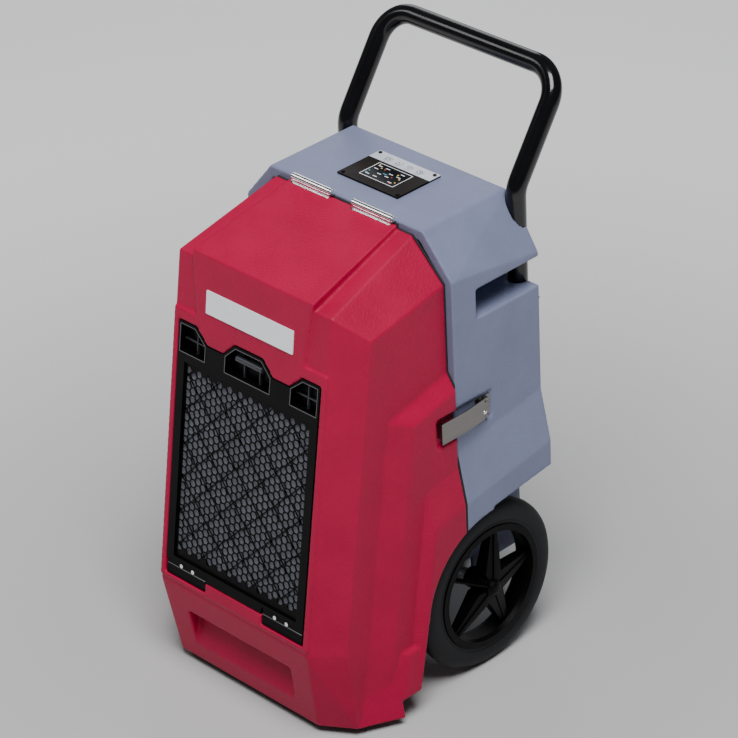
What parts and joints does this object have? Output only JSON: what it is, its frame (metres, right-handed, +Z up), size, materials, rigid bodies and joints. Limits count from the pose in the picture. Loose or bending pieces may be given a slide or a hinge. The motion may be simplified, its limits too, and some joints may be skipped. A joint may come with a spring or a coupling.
{
  "type": "commercial dehumidifier",
  "caption": "Upright portable commercial dehumidifier on two spoked wheels, with a hinged front cover, tilting intake grille, side latches, control panel and a tubular push handle.",
  "frame": {"origin": "on the floor, under the centre of the bounding box", "axes": "+X to the machine's right as seen from the front, -Y the front with the intake grille, +Z up"},
  "size_m": [0.427, 0.52, 0.841],
  "materials": {
    "red_shell": "fine moulded grain, satin",
    "grey_shell": "fine moulded grain, satin",
    "black_tube": "gloss black powder coat",
    "stainless": "brushed stainless",
    "bright_steel": "bright plated",
    "tyre": "matt rubber",
    "black_plastic": "fine texture black",
    "black_mesh": "satin black",
    "filter": "non-woven grey mat",
    "badge": "white, blank",
    "panel_black": "gloss brown-black",
    "screen": "dark display window",
    "silver_strip": "satin silver",
    "button": "satin silver keys",
    "rubber": "black rubber",
    "foam": "black foam",
    "fins": "bare fin stock",
    "copper": "bare copper tube",
    "compressor_black": "satin black",
    "galvanised": "galvanised sheet",
    "pan_plastic": "dark grey moulding",
    "pump_blue": "blue moulding",
    "board": "green circuit board",
    "steel": "plain steel"
  },
  "bodies": {
    "housing": {"axle": "steel", "axle_brackets": "galvanised", "axle_washers": "steel", "button_strip": "silver_strip", "chassis_tray": "galvanised", "coil_bends": "copper", "compressor": "compressor_black", "compressor_grommets": "rubber", "condensate_pump": "pump_blue", "condenser_coil": "fins", "control_board": "board", "control_panel": "panel_black", "cover_seal": "foam", "discharge_line": "copper", "display_window": "screen", "drain_outlet": "pan_plastic", "drain_pan": "pan_plastic", "electronics_box": "galvanised", "evaporator_coil": "fins", "fan_motor": "compressor_black", "fan_shroud": "black_plastic", "filter_drier": "copper", "front_feet": "rubber", "handle_clamps": "black_plastic", "handle_screws": "bright_steel", "handle_tube": "black_tube", "hinge_leaves_housing": "bright_steel", "hinge_pins": "bright_steel", "latch_bases": "stainless", "liquid_lines": "copper", "outlet_grille": "black_plastic", "panel_screws": "black_plastic", "power_inlet": "black_plastic", "pump_reservoir": "pan_plastic", "rear_housing": "grey_shell", "run_capacitor": "steel", "suction_line": "copper"},
    "cover": {"front_cover": "red_shell", "badge_plate": "badge", "hinge_leaves_cover": "bright_steel", "latch_keepers": "stainless"},
    "grille": {"filter_grille": "black_plastic", "grille_mesh": "black_mesh", "grip_bar": "black_plastic", "grille_tongues": "black_mesh", "tongue_screws": "bright_steel", "filter_media": "filter"},
    "latch_right": {"latch_lever_right": "stainless"},
    "latch_left": {"latch_lever_left": "stainless"},
    "wheel_right": {"tyre_right": "tyre", "rim_right": "black_plastic", "hub_cap_right": "black_plastic"},
    "wheel_left": {"tyre_left": "tyre", "rim_left": "black_plastic", "hub_cap_left": "black_plastic"},
    "fan": {"fan_impeller": "black_plastic"},
    "button_1": {"panel_button_1": "button"},
    "button_2": {"panel_button_2": "button"},
    "button_3": {"panel_button_3": "button"},
    "button_4": {"panel_button_4": "button"}
  },
  "joints": [
    {"name": "cover_hinge", "type": "hinge", "parent": "housing", "child": "cover", "pos_m": [0, -0.013, 0.6895], "axis": [-1, 0, 0], "range_deg": [0, 95]},
    {"name": "grille_tilt", "type": "hinge", "parent": "cover", "child": "grille", "pos_m": [0, -0.25603, 0.156], "axis": [1, 0, 0], "range_deg": [0, 60]},
    {"name": "latch_right_swing", "type": "hinge", "parent": "housing", "child": "latch_right", "pos_m": [0.1965, 0.046, 0.415], "axis": [0, 0, 1], "range_deg": [0, 110]},
    {"name": "latch_left_swing", "type": "hinge", "parent": "housing", "child": "latch_left", "pos_m": [-0.1965, 0.046, 0.415], "axis": [0, 0, -1], "range_deg": [0, 110]},
    {"name": "wheel_right_spin", "type": "hinge", "parent": "housing", "child": "wheel_right", "pos_m": [0.183, 0.042, 0.127], "axis": [1, 0, 0], "continuous": true},
    {"name": "wheel_left_spin", "type": "hinge", "parent": "housing", "child": "wheel_left", "pos_m": [-0.183, 0.042, 0.127], "axis": [1, 0, 0], "continuous": true},
    {"name": "fan_spin", "type": "hinge", "parent": "housing", "child": "fan", "pos_m": [0, -0.014, 0.4], "axis": [0, 1, 0], "continuous": true},
    {"name": "button_1_press", "type": "slide", "parent": "housing", "child": "button_1", "axis": [0, 0, -1], "range_m": [0, 0.0008], "stiffness_N_per_m": 900},
    {"name": "button_2_press", "type": "slide", "parent": "housing", "child": "button_2", "axis": [0, 0, -1], "range_m": [0, 0.0008], "stiffness_N_per_m": 900},
    {"name": "button_3_press", "type": "slide", "parent": "housing", "child": "button_3", "axis": [0, 0, -1], "range_m": [0, 0.0008], "stiffness_N_per_m": 900},
    {"name": "button_4_press", "type": "slide", "parent": "housing", "child": "button_4", "axis": [0, 0, -1], "range_m": [0, 0.0008], "stiffness_N_per_m": 900}
  ]
}
